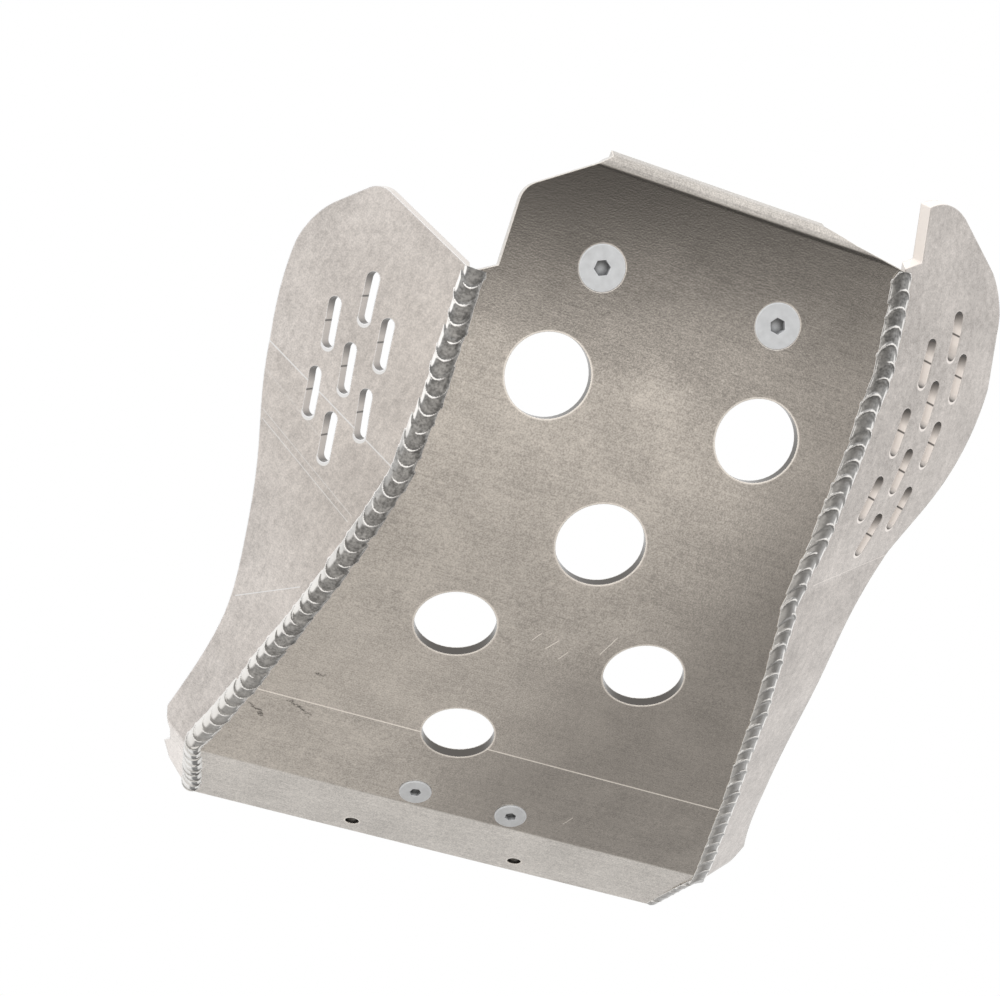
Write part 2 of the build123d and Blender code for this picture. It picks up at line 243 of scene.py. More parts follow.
class SkidPlateSizes(bpy.types.PropertyGroup):
    """Sizes of the pieces modelled here."""

    ripple_pitch: FloatProperty(
        name="Ripple pitch", description="Distance between weld ripples", default=0.006, unit="LENGTH")
    ripple_bow: FloatProperty(
        name="Ripple bow", description="How far a ripple's crown leads its toes", default=0.0051,
        unit="LENGTH")
    bead_toe: FloatProperty(
        name="Bead toe", description="Reach of the bead over each sheet", default=0.0044, unit="LENGTH")
    bead_crown: FloatProperty(
        name="Bead crown", description="Height of the bead over the corner", default=0.0009, unit="LENGTH")
    rear_scale: FloatProperty(
        name="Rear scale", description="Size of the ripples along the rear flange", default=0.7,
        subtype="FACTOR")
    voxel: FloatProperty(
        name="Bead voxel", description="Grain of the fused bead", default=0.000285, precision=6,
        unit="LENGTH")


# Settings that all colours share
COLOUR = {"size": 3, "min": 0, "max": 1, "subtype": "COLOR"}


class SkidPlateFinish(bpy.types.PropertyGroup):
    """Colours of the finishes."""

    main_colour: FloatVectorProperty(
        name="Main sheet", description="Satin aluminium of the main plate", default=(0.62, 0.58, 0.535),
        **COLOUR)
    side_colour: FloatVectorProperty(
        name="Side sheet", description="Satin aluminium of the side plates", default=(0.65, 0.605, 0.57),
        **COLOUR)
    weld_colour: FloatVectorProperty(
        name="Weld", description="Bare weld metal", default=(0.60, 0.59, 0.575), **COLOUR)
    zinc_colour: FloatVectorProperty(
        name="Zinc", description="Zinc plate of the screws", default=(0.575, 0.588, 0.603), **COLOUR)


class SkidPlateStage(bpy.types.PropertyGroup):
    """Camera and floor."""

    lens: FloatProperty(
        name="Lens", description="Focal length on a 36 mm wide sensor", default=65.229, unit="CAMERA")
    camera_place: FloatVectorProperty(
        name="Camera place", description="Where the camera stands",
        default=(-0.174023, -0.454238, -0.452663), size=3, subtype="TRANSLATION")
    floor_height: FloatProperty(
        name="Floor height", description="Height of the floor", default=-0.62, unit="LENGTH")
    floor_colour: FloatVectorProperty(
        name="Floor", description="Pale floor", default=(0.67, 0.647, 0.618), **COLOUR)


# Operations of the vector node whose result is a number
NUMBER_OPERATIONS = ("DOT_PRODUCT", "DISTANCE", "LENGTH")


def add_node(tree, kind, inputs=None, **settings):
    """A shader node with its settings, and its inputs given as values or as links."""
    made = tree.nodes.new(kind)
    for name, value in settings.items():
        setattr(made, name, value)
    for name, value in (inputs or {}).items():
        if isinstance(value, bpy.types.NodeSocket):
            tree.links.new(value, made.inputs[name])
        else:
            made.inputs[name].default_value = value
    return made


def new_material(name):
    """An empty material with its Principled shader and Object coordinates."""
    material = bpy.data.materials.new(name)
    material.use_nodes = True
    tree = material.node_tree
    shader = tree.nodes["Principled BSDF"]
    place = add_node(tree, "ShaderNodeTexCoord").outputs["Object"]
    return material, tree, shader, place


def noise(tree, place, scale, detail=3, stretch=(1, 1, 1)):
    """Noise from 0 to 1, stretched along an axis where its factor is small."""
    mapped = add_node(tree, "ShaderNodeMapping", {"Vector": place, "Scale": stretch}).outputs["Vector"]
    made = add_node(tree, "ShaderNodeTexNoise", {"Vector": mapped, "Scale": scale, "Detail": detail})
    return made.outputs["Fac"]


def math(tree, operation, first, second=0.0, third=0.0, clamp=False):
    """One arithmetic node."""
    inputs = {0: first, 1: second, 2: third}
    return add_node(tree, "ShaderNodeMath", inputs, operation=operation, use_clamp=clamp).outputs[0]


def vector_math(tree, operation, first, second=(0, 0, 0)):
    """One vector node, with a number or a vector as its result."""
    made = add_node(tree, "ShaderNodeVectorMath", {0: first, 1: second}, operation=operation)
    return made.outputs["Value" if operation in NUMBER_OPERATIONS else "Vector"]


def opposite(tree, share):
    """What is left of 1."""
    return math(tree, "SUBTRACT", 1.0, share)


def spread(tree, value, low, high, out_low=0.0, out_high=1.0):
    """A value's range mapped to another one, clamped."""
    made = add_node(tree, "ShaderNodeMapRange", {
        "Value": value, "From Min": low, "From Max": high, "To Min": out_low, "To Max": out_high})
    return made.outputs["Result"]


def blend_values(tree, share, first, second):
    """A mix of two numbers, each given as a value or as a link."""
    return add_node(tree, "ShaderNodeMix", {0: share, 2: first, 3: second}).outputs[0]


def blend_colours(tree, share, first, second):
    """A mix of two colours, each given as a value or as a link."""
    made = add_node(tree, "ShaderNodeMix", {0: share, 6: first, 7: second}, data_type="RGBA")
    return made.outputs[2]


def shaded(colour, factor):
    """A colour made lighter or darker, as four numbers."""
    return [min(1.0, part * factor) for part in colour] + [1.0]


def line_mask(tree, place, start, end, width, core=0.3):
    """1 along a straight mark from start to end, fading from a share of its width to 0 at its width."""
    along = end - start
    offset = vector_math(tree, "SUBTRACT", place, start)
    reach = vector_math(tree, "DOT_PRODUCT", offset, along / along.length_squared)
    share = math(tree, "ADD", reach, clamp=True)
    nearest = add_node(tree, "ShaderNodeVectorMath", {0: along, "Scale": share}, operation="SCALE").outputs[0]
    gap = vector_math(tree, "DISTANCE", offset, nearest)
    return spread(tree, gap, width, width * core)


def broken_edges(tree, radius, samples):
    """Normals that round a piece's edges, its flat normals, and a mask that is 1 on the edges."""
    rounded = add_node(tree, "ShaderNodeBevel", {"Radius": radius}, samples=samples).outputs["Normal"]
    flat = add_node(tree, "ShaderNodeNewGeometry").outputs["True Normal"]
    facing = vector_math(tree, "DOT_PRODUCT", rounded, flat)
    return rounded, flat, spread(tree, facing, 0.99, 0.9)


# Rolled sheet: scale of its mottle, clouds and speckle, share of each in its tone, and their contrast
MOTTLE_SCALE = 480
CLOUD_SCALE = 50
SPECKLE_SCALE = 1700
STREAK_SHARE = 0.16
MOTTLE_SHARE = 0.2
CLOUD_SHARE = 0.22
MILL_CONTRAST = 0.13

# Tones of the sheets' finish as shares of their colour, where the edge light is a painted highlight, the hole
# dark is painted shade and the cut tone darkens ticks and paints shade, and how metallic a frosted face is
MILL_DARK = 0.72
MILL_LIGHT = 1.28
EDGE_LIGHT = 1.55
STAIN_DARK = 0.3
CUT_MARK_AND_SHADE_DARK = 0.18
HOLE_DARK = 0.2
FROSTED = 0.15

# Depth of the sheets' bump, width of their broken edges, and how far their stains wander
BUMP_DEPTH = 0.2 * MM
EDGE_RADIUS = 0.6 * MM
STAIN_WANDER = (0.006, 0.006, 0)


def mill_tone(tree, place, grain, speckle, sparkle):
    """Tone of rolled sheet from 0 to 1: streaks along its grain, mottle, clouds and speckle."""
    tone = math(tree, "MULTIPLY", noise(tree, place, 1.0, 4, grain), STREAK_SHARE)
    tone = math(tree, "MULTIPLY_ADD", noise(tree, place, MOTTLE_SCALE), MOTTLE_SHARE, tone)
    tone = math(tree, "MULTIPLY_ADD", noise(tree, place, CLOUD_SCALE), CLOUD_SHARE, tone)
    tone = math(tree, "MULTIPLY_ADD", speckle, sparkle, tone)
    middle = (STREAK_SHARE + MOTTLE_SHARE + CLOUD_SHARE + sparkle) / 2
    return spread(tree, tone, middle - MILL_CONTRAST, middle + MILL_CONTRAST)


def crooked(tree, place):
    """Object coordinates that wander, for stains with crooked outlines."""
    wander = add_node(tree, "ShaderNodeTexNoise", {"Vector": place, "Scale": 420, "Detail": 2})
    shift = vector_math(tree, "SUBTRACT", wander.outputs["Color"], (0.5, 0.5, 0.5))
    moved = {0: shift, 1: STAIN_WANDER, 2: place}
    return add_node(tree, "ShaderNodeVectorMath", moved, operation="MULTIPLY_ADD").outputs[0]


def satin_sheet(name, colour, grain, sparkle, marks, stains=(), slots=None, holes=()):
    """Satin aluminium sheet: mottled mill finish, fine grain, bright broken edges, scribed lines and stains.

    Slots are given as the sheet's outward direction, the tone of their walls painted as light and shade,
    crescents painted on their rims as highlights, and dark ticks left by the cutting with painted shade at
    the slots' ends.
    Round holes are given as axes and radii; their walls are painted dark as shade and their rims bright as
    highlights.
    """
    material, tree, shader, place = new_material(name)
    speckle = noise(tree, place, SPECKLE_SCALE, 2)
    tone = mill_tone(tree, place, grain, speckle, sparkle)
    finish = blend_colours(tree, tone, shaded(colour, MILL_DARK), shaded(colour, MILL_LIGHT))
    rounded, flat, bright = broken_edges(tree, EDGE_RADIUS, 6)
    outward, painted_wall_tone, glints, cut_marks_and_shade = slots or (None, 1, [], [])
    if outward:
        level = math(tree, "ABSOLUTE", vector_math(tree, "DOT_PRODUCT", flat, outward))
        cut_wall = spread(tree, level, 0.8, 0.5)
        # Slot walls painted lighter or darker than the face, as painted light and shade
        finish = blend_colours(tree, cut_wall, finish, shaded(colour, painted_wall_tone))
        on_face = opposite(tree, cut_wall)
    # Crescents on the slots' rear rims painted bright as highlights
    for start, end in glints:
        glint_highlight = line_mask(tree, place, start, end, GLINT_WIDTH, GLINT_CORE)
        bright = math(tree, "MAXIMUM", bright, math(tree, "MULTIPLY", glint_highlight, on_face))
    for start, end, width, strength in marks:
        line = math(tree, "MULTIPLY", line_mask(tree, place, start, end, width), strength)
        bright = math(tree, "MAXIMUM", bright, line)
    shaded_walls = []
    # Hole walls painted dark as shade, and a ring around each hole painted bright as a highlight
    for start, end, radius in holes:
        shaded_wall = line_mask(tree, place, start, end, radius * WALL_REACH, WALL_CORE)
        shaded_walls.append(math(tree, "MULTIPLY", shaded_wall, opposite(tree, bright)))
        hole_rim_highlight = line_mask(tree, place, start, end, radius + RIM_WIDTH, radius / (radius + RIM_WIDTH))
        bright = math(tree, "MAXIMUM", bright, math(tree, "MULTIPLY", hole_rim_highlight, opposite(tree, shaded_wall)))
    # Edges, hole rims and crescents painted lighter as highlights; scribed lines and scratches lighter as
    # marks
    finish = blend_colours(tree, bright, finish, shaded(colour, EDGE_LIGHT))
    wandering = crooked(tree, place) if stains else place
    for start, end, width in stains:
        stain = line_mask(tree, wandering, start, end, width)
        stain = math(tree, "MULTIPLY", stain, spread(tree, speckle, 0.38, 0.52))
        finish = blend_colours(tree, stain, finish, shaded(colour, STAIN_DARK))
    # Dark ticks where the cuts began, and painted shade at the slots' ends
    for start, end, width in cut_marks_and_shade:
        cut_mark_and_shade = math(tree, "MULTIPLY", line_mask(tree, place, start, end, width), cut_wall)
        finish = blend_colours(tree, cut_mark_and_shade, finish, shaded(colour, CUT_MARK_AND_SHADE_DARK))
    # Hole walls painted dark as shade
    for shaded_wall in shaded_walls:
        finish = blend_colours(tree, shaded_wall, finish, shaded(colour, HOLE_DARK))
    tree.links.new(finish, shader.inputs["Base Color"])
    rough = spread(tree, tone, 0, 1, 0.22, 0.14)
    tree.links.new(math(tree, "MULTIPLY_ADD", bright, -0.08, rough), shader.inputs["Roughness"])
    relief = {"Height": tone, "Normal": rounded, "Strength": 0.05, "Distance": BUMP_DEPTH}
    tree.links.new(add_node(tree, "ShaderNodeBump", relief).outputs["Normal"], shader.inputs["Normal"])
    frosted = cut_wall if outward else bright
    tree.links.new(spread(tree, frosted, 0, 1, 1, FROSTED), shader.inputs["Metallic"])
    return material


# Mesh attribute that marks the rims and toes of the weld ripples, which are painted bright as highlights, and
# below zero a band just inside a rim, painted dark as shade
RIM = "rim"

# Scale of the weld's frost and blotches, and share of each in its tone
FROST_SCALE = 1100
BLOTCH_SCALE = 330
FROST_SHARE = 0.55
BLOTCH_SHARE = 0.45

# Tones of the weld as shares of its colour; all but the hollows are painted light and shade
HOLLOW_DARK = 0.34
HOLLOW_LIGHT = 0.8
LIFTED = 0.95
POCKET_SHADE_DARK = 0.25
FLANK_HIGHLIGHT = 1.6
RIM_SHADE_DARK = 0.3
RIM_HIGHLIGHT = 1.5

# Where along Y the painted light and shade of the beads change, in metres: start and end
FLANGE_REACHED = (0.058, 0.066)
FLANK_EASED = (0.0, 0.06)
FLANK_HIGHLIGHT_RISE = (-0.1, -0.03)
FRONT_TOE_ENDS = (-0.09, -0.1)
RIGHT_LIFTED = (0.0, 0.04)
RIGHT_LIFT_ENDS = (0.055, 0.07)
LEFT_LIFTED = (-0.16, -0.1)

# Half the distance along X between the looks of the two beads
BETWEEN_BEADS = 0.02


def right_flank_highlight_mask(tree, lean, rearness, on_flange):
    """1 where the outer flank of the right bead, towards the rear, and its outer toe near the front are
    painted bright as highlights.
    """
    eased = math(tree, "ADD", lean, spread(tree, rearness, *FLANK_EASED, 0, 0.2))
    eased = math(tree, "MULTIPLY_ADD", on_flange, 0.15, eased)
    rearward = spread(tree, rearness, *FLANK_HIGHLIGHT_RISE, 0, 0.9)
    painted_flank_highlight = math(tree, "MULTIPLY", spread(tree, eased, 0.52, 0.62), rearward)
    forward = spread(tree, rearness, *FRONT_TOE_ENDS)
    front_toe_highlight = math(tree, "MULTIPLY", spread(tree, lean, 0.66, 0.74), forward)
    return math(tree, "MAXIMUM", painted_flank_highlight, front_toe_highlight)


def painted_weld_lift(tree, rearness, on_left):
    """How far the hollows of the beads are painted lighter along Y, as painted light."""
    right_ends = spread(tree, rearness, *RIGHT_LIFT_ENDS, 1, 0)
    right_lift = math(tree, "MULTIPLY", spread(tree, rearness, *RIGHT_LIFTED, 0, 0.5), right_ends)
    left_lift = spread(tree, rearness, *LEFT_LIFTED, 0, 0.7)
    return blend_values(tree, on_left, right_lift, left_lift)


def weld_metal(colour):
    """Bare weld: rims and toes painted bright as highlights with painted shade inside them, grey frosted
    hollows, outer flanks painted bright as highlights, and painted light and shade along the beads.
    """
    material, tree, shader, place = new_material("bare_weld")
    crest = add_node(tree, "ShaderNodeAttribute", attribute_name=RIM).outputs["Fac"]
    frost = noise(tree, place, FROST_SCALE, 4)
    blotch = noise(tree, place, BLOTCH_SCALE, 2)
    turned = add_node(tree, "ShaderNodeNewGeometry").outputs["Normal"]
    sideways = add_node(tree, "ShaderNodeSeparateXYZ", {"Vector": turned}).outputs["X"]
    apart = add_node(tree, "ShaderNodeSeparateXYZ", {"Vector": place})
    rearness = apart.outputs["Y"]
    lean = math(tree, "ABSOLUTE", sideways)
    on_left = spread(tree, apart.outputs["X"], -BETWEEN_BEADS, BETWEEN_BEADS)
    on_right = opposite(tree, on_left)
    outer_sign = spread(tree, apart.outputs["X"], -BETWEEN_BEADS, BETWEEN_BEADS, -1, 1)
    lean_out = math(tree, "MULTIPLY", sideways, outer_sign)
    on_flange = math(tree, "MULTIPLY", spread(tree, rearness, *FLANGE_REACHED), on_right)
    # Rims and toes painted bright as highlights, weaker where they lean away from the outside
    rim = spread(tree, math(tree, "MULTIPLY_ADD", blotch, 0.5, crest), 0.6, 1.1)
    rim_strength = math(tree, "MAXIMUM", spread(tree, lean_out, -0.15, 0.25, 0.3, 1), on_flange)
    rim = math(tree, "MULTIPLY", rim, rim_strength)
    # Hollows of the ripples on the flange's main side painted dark as shade
    pocket_shade = math(tree, "MULTIPLY", spread(tree, lean_out, 0.45, 0.15, 0, 0.7), on_flange)
    right_flank_highlight = right_flank_highlight_mask(tree, lean, rearness, on_flange)
    painted_flank_highlight = blend_values(tree, on_left, right_flank_highlight, spread(tree, lean, 0.58, 0.68))
    # A band just inside each rim painted dark as shade
    shade_behind_rim = spread(tree, crest, 0.0, -0.55, 0, 0.6)
    tone = math(tree, "MULTIPLY_ADD", blotch, BLOTCH_SHARE, math(tree, "MULTIPLY", frost, FROST_SHARE))
    hollow = spread(tree, tone, 0.38, 0.62)
    finish = blend_colours(tree, hollow, shaded(colour, HOLLOW_DARK), shaded(colour, HOLLOW_LIGHT))
    # Hollows painted lighter along parts of the beads, as painted light
    finish = blend_colours(tree, painted_weld_lift(tree, rearness, on_left), finish, shaded(colour, LIFTED))
    finish = blend_colours(tree, pocket_shade, finish, shaded(colour, POCKET_SHADE_DARK))
    # Outer flanks painted lighter as highlights
    finish = blend_colours(tree, painted_flank_highlight, finish, shaded(colour, FLANK_HIGHLIGHT))
    finish = blend_colours(tree, shade_behind_rim, finish, shaded(colour, RIM_SHADE_DARK))
    finish = blend_colours(tree, rim, finish, shaded(colour, RIM_HIGHLIGHT))
    tree.links.new(finish, shader.inputs["Base Color"])
    tree.links.new(spread(tree, tone, 0.3, 0.7, 0.4, 0.3), shader.inputs["Roughness"])
    bright = math(tree, "MAXIMUM", rim, math(tree, "MULTIPLY", right_flank_highlight, on_right))
    bright = math(tree, "MULTIPLY", bright, opposite(tree, on_flange))
    tree.links.new(spread(tree, bright, 0, 1, 1, FROSTED), shader.inputs["Metallic"])
    relief = {"Height": frost, "Strength": 0.2, "Distance": BUMP_DEPTH}
    tree.links.new(add_node(tree, "ShaderNodeBump", relief).outputs["Normal"], shader.inputs["Normal"])
    return material


# Zinc plate: scale of its clouds, tones as shares of its colour with edges painted lighter as a highlight and
# sockets painted dark as shade, radius of its edges, and reach of the painted shade in a socket
ZINC_CLOUD_SCALE = 420
ZINC_DARK = 0.85
ZINC_LIGHT = 1.15
ZINC_EDGE_LIGHT = 1.5
SOCKET_SHADE_DARK = 0.2
ZINC_EDGE_RADIUS = 0.4 * MM
SOCKET_SHADE_REACH = 3 * MM


def zinc_plate(name, colour):
    """Zinc plate with a faint cloudiness, edges painted bright as a highlight and sockets painted dark as
    shade.
    """
    material, tree, shader, place = new_material(name)
    cloud = noise(tree, place, ZINC_CLOUD_SCALE, 4)
    finish = blend_colours(tree, cloud, shaded(colour, ZINC_DARK), shaded(colour, ZINC_LIGHT))
    rounded, _, zinc_edge_highlight = broken_edges(tree, ZINC_EDGE_RADIUS, 4)
    finish = blend_colours(tree, zinc_edge_highlight, finish, shaded(colour, ZINC_EDGE_LIGHT))
    open_air = add_node(
        tree, "ShaderNodeAmbientOcclusion", {"Distance": SOCKET_SHADE_REACH}, samples=8, only_local=True)
    # Sockets painted dark as shade, from their occlusion
    socket_shade = spread(tree, open_air.outputs["AO"], 0.8, 0.4, 0, 0.85)
    finish = blend_colours(tree, socket_shade, finish, shaded(colour, SOCKET_SHADE_DARK))
    tree.links.new(finish, shader.inputs["Base Color"])
    tree.links.new(spread(tree, cloud, 0.3, 0.7, 0.4, 0.52), shader.inputs["Roughness"])
    tree.links.new(rounded, shader.inputs["Normal"])
    shader.inputs["Metallic"].default_value = 0.3
    return material


def dress(node, material):
    """Puts a material on a solid of the frame."""
    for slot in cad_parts[node].material_slots:
        slot.material = material


def finish_piece(piece, name, material, nodes):
    """Names a finished piece, gives it its material and slot, and lets it stand for its solids."""
    piece.name = name
    piece.data.name = name
    piece.data.materials.clear()
    piece.data.materials.append(material)
    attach(piece, "root")
    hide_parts(*nodes)


def apply_modifier(piece, kind, **settings):
    """Adds a modifier to the active piece and applies it."""
    modifier = piece.modifiers.new(kind.title(), kind)
    for name, value in settings.items():
        setattr(modifier, name, value)
    bpy.ops.object.modifier_apply(modifier=modifier.name)


def join_pieces(pieces):
    """Joins pieces into one, at the origin, with its place in its mesh."""
    bpy.ops.object.select_all(action="DESELECT")
    for piece in pieces:
        piece.select_set(True)
    bpy.context.view_layer.objects.active = pieces[0]
    bpy.ops.object.transform_apply(location=True, rotation=True, scale=True)
    bpy.ops.object.join()
    return bpy.context.view_layer.objects.active


def edit_all():
    """Starts to edit the active piece, with all of it selected."""
    bpy.ops.object.mode_set(mode="EDIT")
    bpy.ops.mesh.select_all(action="SELECT")


def end_edit():
    """Turns the faces of the edited piece outwards and ends the edit."""
    bpy.ops.mesh.select_all(action="SELECT")
    bpy.ops.mesh.normals_make_consistent(inside=False)
    bpy.ops.object.mode_set(mode="OBJECT")


class SKIDPLATE_OT_sheet_finish(bpy.types.Operator):
    """Give the main plate and the side plates their satin sheet finish"""

    bl_idname = "skidplate.sheet_finish"
    bl_label = "Sheet finish"

    def execute(self, context):
        colours = context.scene.skidplate_finish
        self.dress_main_plate(colours.main_colour)
        for name, side, tone, scribed, slots, painted_wall_tone, glint_place in SIDE_PLATES:
            marks = []
            for first, last, width, strength in scribed:
                marks.append((on_side_plate(*first, side), on_side_plate(*last, side), width, strength))
            # The side sheet's colour painted lighter or darker per plate, as painted light and shade
            colour = shaded(colours.side_colour, tone)[:3]
            slot_looks = self.slot_finish(side, slots, painted_wall_tone, glint_place)
            dress(name + "_side_plate", satin_sheet(
                name + "_sheet", colour, SIDE_GRAIN, SIDE_SPARKLE, marks, slots=slot_looks))
        return {"FINISHED"}

    def dress_main_plate(self, colour):
        """Main plate with its scribed crease, scratches, stains and round holes."""
        crease_ends = on_main_plate(-CREASE_HALF, CREASE), on_main_plate(CREASE_HALF, CREASE)
        marks = [(*crease_ends, CREASE_WIDTH, CREASE_STRENGTH)]
        for x, station, run, along in SCRATCHES:
            ends = on_main_plate(x, station), on_main_plate(x + run, station + along)
            marks.append((*ends, SCRATCH_WIDTH, SCRATCH_STRENGTH))
        stains = []
        for x, station, run, along in STAINS:
            stains.append((on_main_plate(x, station), on_main_plate(x + run, station + along), STAIN_WIDTH))
        dress("main_plate", satin_sheet(
            "main_sheet", colour, MAIN_GRAIN, MAIN_SPARKLE, marks, stains, holes=hole_axes()))

    def slot_finish(self, side, slots, painted_wall_tone, glint_place):
        """Painted highlight crescents on the rear rims, dark ticks where the cut began and painted shade at
        the slots' ends.
        """
        glints = slot_lines(side, slots, glint_place, 0)
        cut_marks_and_shade = []
        for along_slot, across_slot, width in SLOT_MARKS_AND_SHADE:
            for first, last in slot_lines(side, slots, along_slot, across_slot):
                cut_marks_and_shade.append((first, last, width))
        return out_of_sheet(side), painted_wall_tone, glints, cut_marks_and_shade


# One ripple: points around it, lean of its cup, its width and height as shares of the bead's toe, and how
# much narrower and lower it starts
RIPPLE_POINTS = 40
RIPPLE_LEAN = radians(45)
RIPPLE_WIDTH = 0.934
RIPPLE_HEIGHT = 0.358
START_WIDTH = 0.93
START_HEIGHT = 0.8

# Steps of a ripple towards its rim: share of the pitch, growth in width and height, and mark of the rim for
# its painted highlight, below zero for painted shade
RIPPLE_PROFILE = (
    (0.4, 1.0, 0.97, 0), (0.35, 0.985, 0.95, 0), (0.22, 1.0, 1.0, -0.2), (0.13, 1.02, 1.09, -0.6),
    (0.07, 1.04, 1.11, 1), (0.05, 1.0, 1.0, 1), (0.04, 0.98, 0.93, 0.4), (0.06, 0.95, 0.88, 0),
)

# Foot of a ripple: height of the cut, marks of its rim inside and outside, flare of its toe, and depth
FOOT_CUT = 0.2 * MM
FOOT_MARK = 0.7
TOE_MARK = 1
TOE_FLARE = (1.08, 1.04, 1)
FOOT_DEPTH = 0.6 * MM


def model_ripple(sizes):
    """One weld ripple: a flared cup, its rim leaning ahead at the crown, cut flat along its foot."""
    bpy.ops.object.select_all(action="DESELECT")
    bpy.ops.mesh.primitive_circle_add(
        vertices=RIPPLE_POINTS, radius=1, fill_type="NGON", rotation=(pi / 2 - RIPPLE_LEAN, 0, 0))
    ripple = bpy.context.active_object
    bpy.ops.object.transform_apply(location=False, rotation=True, scale=False)
    ripple.data.attributes.active = ripple.data.attributes.new(RIM, "FLOAT", "POINT")
    half = sizes.bead_toe * RIPPLE_WIDTH * START_WIDTH
    bow = sizes.ripple_bow / sin(RIPPLE_LEAN)
    height = (sizes.bead_toe * RIPPLE_HEIGHT + sizes.bead_crown) * START_HEIGHT / cos(RIPPLE_LEAN)
    edit_all()
    bpy.ops.transform.resize(value=(half, bow, height))
    for share, wider, higher, mark in RIPPLE_PROFILE:
        step = (0, share * sizes.ripple_pitch, 0)
        bpy.ops.mesh.extrude_region_move(TRANSFORM_OT_translate={"value": step})
        bpy.ops.transform.resize(value=(wider, 1, higher))
        bpy.ops.mesh.attribute_set(value_float=mark)
    bpy.ops.mesh.select_all(action="SELECT")
    bpy.ops.mesh.bisect(plane_co=(0, 0, FOOT_CUT), plane_no=(0, 0, 1), use_fill=True, clear_inner=True)
    bpy.ops.mesh.attribute_set(value_float=FOOT_MARK)
    bpy.ops.mesh.extrude_region_move(TRANSFORM_OT_translate={"value": (0, 0, 0)})
    bpy.ops.transform.resize(value=TOE_FLARE)
    bpy.ops.mesh.attribute_set(value_float=TOE_MARK)
    bpy.ops.mesh.extrude_region_move(TRANSFORM_OT_translate={"value": (0, 0, -FOOT_DEPTH)})
    end_edit()
    return ripple


# Distance in millimetres over which a bead rounds the turns of its seam
SEAM_EASE = 4

# Ends of a bead before the rear edge in millimetres: its last ripple, and its square cut
LAST_RIPPLE_GAP = 1.5
REAR_CUT_GAP = 0.6

# How far a ripple's rim lies ahead of its foot, as shares of the pitch and the bow
RIM_AHEAD_PITCH = 0.95
RIM_AHEAD_BOW = 0.6

# How much the ripples differ: station in millimetres, turn in degrees, width and depth
STATION_PLAY = 0.35
TURN_PLAY = 4
WIDTH_PLAY = 0.03
DEPTH_PLAY = 0.06

# Course of each bead along its seam: station, how far it strays towards the main plate, and its girth
LEFT_COURSE = ((-31, 0, 1), (50, 0, 1), (95, 0.9 * MM, 0.78), (235, 0.9 * MM, 0.78), (271, 0, 0.9))
RIGHT_COURSE = (
    (13, 1.0 * MM, 1), (60, 1.0 * MM, 1), (85, -0.6 * MM, 1), (120, -0.4 * MM, 1), (150, 0, 1), (236, 0, 1),
    (244, 0.3 * MM, 1.45), (271, 0.3 * MM, 1.4))

# Beads: name, side, way that the rims face along the seam, first station, seed of the ripples, and course
BEADS = (
    ("left_weld_bead", LEFT, -1, -30.5, 3, LEFT_COURSE),
    ("right_weld_bead", RIGHT, 1, 13, 8, RIGHT_COURSE),
)


def bead_course(course, station):
    """How far a bead strays from its seam and its girth at a station."""
    (first, first_stray, first_girth), (last, last_stray, last_girth) = neighbours(course, station)
    share = min(1, max(0, (station - first) / (last - first)))
    return first_stray + share * (last_stray - first_stray), first_girth + share * (last_girth - first_girth)


def seam_frame(station, side, ahead, toe, stray):
    """Place and directions of a ripple on a seam: across it, along it towards its rim, and outwards."""
    before = seam(station - SEAM_EASE, side)
    after = seam(min(station + SEAM_EASE, REAR_EDGE), side)
    along = (after - before).normalized() * ahead
    corner = seam(station, side)
    if station + SEAM_EASE < REAR_EDGE:
        corner = (before + 2 * corner + after) / 4
    across = Vector((-side, 0, 0))
    rise = up_sheet(side)
    across = (across - along * across.dot(along)).normalized()
    rise = (rise - along * rise.dot(along)).normalized()
    outward = -(across + rise).normalized()
    foot = corner + (across + rise) * toe / 2 + (across - rise).normalized() * stray
    return foot, along.cross(outward), along, outward


def bead_runs(start, sizes):
    """Stations of the ripples and their size, run by run between the turns of the seam."""
    turns = [turn for turn in (0, FLARE_START, CREASE, REAR_BEND) if turn > start]
    ends = [start] + turns + [REAR_EDGE - LAST_RIPPLE_GAP]
    ripples = []
    for first, last in zip(ends, ends[1:]):
        size = sizes.rear_scale if first == REAR_BEND else 1
        count = round((last - first) / (sizes.ripple_pitch / MM * size))
        for step in range(count):
            ripples.append((first + (step + 0.5) * (last - first) / count, size))
    return ripples


def ripple_place(station, size, side, ahead, course, hand, sizes):
    """Place of one ripple on its seam, as a matrix, with small differences drawn one by one."""
    station = station + hand.uniform(-STATION_PLAY, STATION_PLAY) * size
    stray, girth = bead_course(course, station)
    foot, across, along, outward = seam_frame(station, side, ahead, sizes.bead_toe * size * girth, stray)
    foot = foot - along * (sizes.ripple_pitch * RIM_AHEAD_PITCH + sizes.ripple_bow * RIM_AHEAD_BOW) * size
    turn = Matrix((across, along, outward)).transposed().to_4x4()
    wobble = Matrix.Rotation(radians(hand.uniform(-TURN_PLAY, TURN_PLAY)), 4, "Z")
    width = size * girth * hand.uniform(1 - WIDTH_PLAY, 1 + WIDTH_PLAY)
    depth = size * girth * hand.uniform(1 - DEPTH_PLAY, 1 + DEPTH_PLAY)
    return Matrix.Translation(foot) @ turn @ wobble @ Matrix.Diagonal((width, size, depth, 1))


def trim_bead(side, start):
    """Cuts the active bead square at both ends of its seam."""
    bpy.ops.object.mode_set(mode="EDIT")
    for station, outward in ((start, -1), (REAR_EDGE - REAR_CUT_GAP, 1)):
        along = (seam(station + HALF_STEP, side) - seam(station - HALF_STEP, side)).normalized() * outward
        bpy.ops.mesh.select_all(action="SELECT")
        bpy.ops.mesh.bisect(plane_co=seam(station, side), plane_no=along, use_fill=True, clear_outer=True)
    bpy.ops.object.mode_set(mode="OBJECT")


